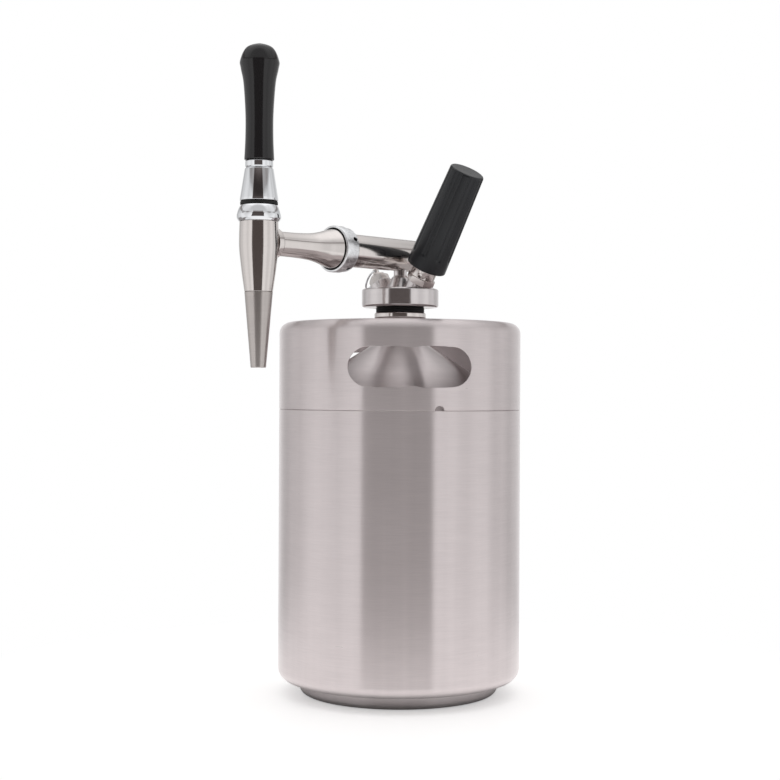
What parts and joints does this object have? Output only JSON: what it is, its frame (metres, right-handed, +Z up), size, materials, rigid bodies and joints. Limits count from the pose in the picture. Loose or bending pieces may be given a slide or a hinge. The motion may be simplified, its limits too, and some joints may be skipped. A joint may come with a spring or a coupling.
{
  "type": "mini keg with stout tap",
  "caption": "Small stainless keg with a screw-in tap head: shank, stout faucet with lever handle, gas cartridge holder and relief valve.",
  "frame": {"origin": "on the plane it stands on, under the middle of the bounding box; the keg's axis is at x 0, y 29.3 mm", "axes": "+Z up, -Y the way the tap pours, +X the side the gas cartridge leans to"},
  "size_m": [0.168, 0.2264, 0.4313],
  "materials": {
    "brushed_steel": "fine circumferential brushing",
    "satin_steel": "satin, turned",
    "polished_steel": "polished stainless",
    "chrome": "mirror",
    "satin_chrome": "satin",
    "gloss_black": "gloss",
    "satin_black": "satin",
    "black_rubber": "matte",
    "white_plastic": "satin",
    "zinc_steel": "bright zinc plate"
  },
  "bodies": {
    "keg": {"vessel_shell": "brushed_steel", "vessel_head": "brushed_steel", "top_skirt": "brushed_steel", "foot_ring": "brushed_steel", "neck_bush": "polished_steel"},
    "tap_carrier": {"neck_seal": "black_rubber"},
    "tap": {"tap_base": "brushed_steel", "plug_seal": "black_rubber", "dip_tube": "polished_steel", "shank_tube": "polished_steel", "retaining_ring": "zinc_steel", "shank_washer": "black_rubber", "port_fitting": "polished_steel", "piercing_pin": "polished_steel", "pin_gasket": "black_rubber", "relief_body": "polished_steel", "relief_cap": "polished_steel", "relief_spring": "zinc_steel"},
    "nut": {"coupling_nut": "satin_chrome"},
    "faucet": {"faucet_body": "polished_steel", "nozzle": "satin_steel", "restrictor_disc": "polished_steel", "flow_straightener": "white_plastic", "ball_seal": "black_rubber", "friction_washer": "white_plastic", "bonnet": "chrome"},
    "lever": {"lever_rod": "polished_steel", "ferrule_ring": "black_rubber", "ferrule": "chrome", "handle_ring": "chrome", "handle": "gloss_black"},
    "valve": {"valve_shaft": "polished_steel", "valve_washer": "black_rubber", "valve_nut": "polished_steel"},
    "relief_poppet": {"relief_stem": "polished_steel", "relief_seal": "black_rubber"},
    "pull_ring": {"pull_ring": "zinc_steel"},
    "cartridge": {"gas_cartridge": "zinc_steel"},
    "holder": {"charger_holder": "satin_black"}
  },
  "joints": [
    {"name": "tap_turn", "type": "hinge", "parent": "tap_carrier", "child": "tap", "pos_m": [0, 0.0293, 0.2677], "axis": [0, 0, 1], "range_deg": [0, 1980]},
    {"name": "tap_lift", "type": "slide", "parent": "keg", "child": "tap_carrier", "axis": [0, 0, 1], "range_m": [0, 0.011]},
    {"name": "nut_turn", "type": "hinge", "parent": "tap", "child": "nut", "pos_m": [0, -0.0295, 0.3042], "axis": [0, 1, 0], "range_deg": [0, 1443]},
    {"name": "faucet_draw", "type": "slide", "parent": "tap", "child": "faucet", "axis": [0, -1, 0], "range_m": [0, 0.00564]},
    {"name": "lever_tilt", "type": "hinge", "parent": "faucet", "child": "lever", "pos_m": [0, -0.0987, 0.3188], "axis": [1, 0, 0], "range_deg": [0, 30]},
    {"name": "valve_slide", "type": "slide", "parent": "faucet", "child": "valve", "axis": [0, 1, 0], "range_m": [0, 0.00765]},
    {"name": "relief_pull", "type": "slide", "parent": "tap", "child": "relief_poppet", "axis": [-0.5225, 0, 0.8526], "range_m": [0, 0.003], "stiffness_N_per_m": 400, "springref_m": -0.004, "deforming": ["relief_spring"]},
    {"name": "ring_swing", "type": "hinge", "parent": "relief_poppet", "child": "pull_ring", "pos_m": [-0.02456, 0.0293, 0.29367], "axis": [-0.5616, 0.7524, -0.3442], "range_deg": [0, 190]},
    {"name": "holder_turn", "type": "hinge", "parent": "cartridge", "child": "holder", "pos_m": [0.04702, 0.0293, 0.33034], "axis": [0.5225, 0, 0.8526], "range_deg": [0, 1982]},
    {"name": "cartridge_lift", "type": "slide", "parent": "tap", "child": "cartridge", "axis": [0.5225, 0, 0.8526], "range_m": [0, 0.00825]}
  ],
  "couplings": [
    {"joint": "tap_lift", "follows": "tap_turn", "m_per_rad": 0.00031831},
    {"joint": "nut_turn", "follows": "faucet_draw", "rad_per_m": 4456.2},
    {"joint": "valve_slide", "follows": "lever_tilt", "m_per_rad": 0.0146},
    {"joint": "holder_turn", "follows": "cartridge_lift", "rad_per_m": 4188.8}
  ]
}
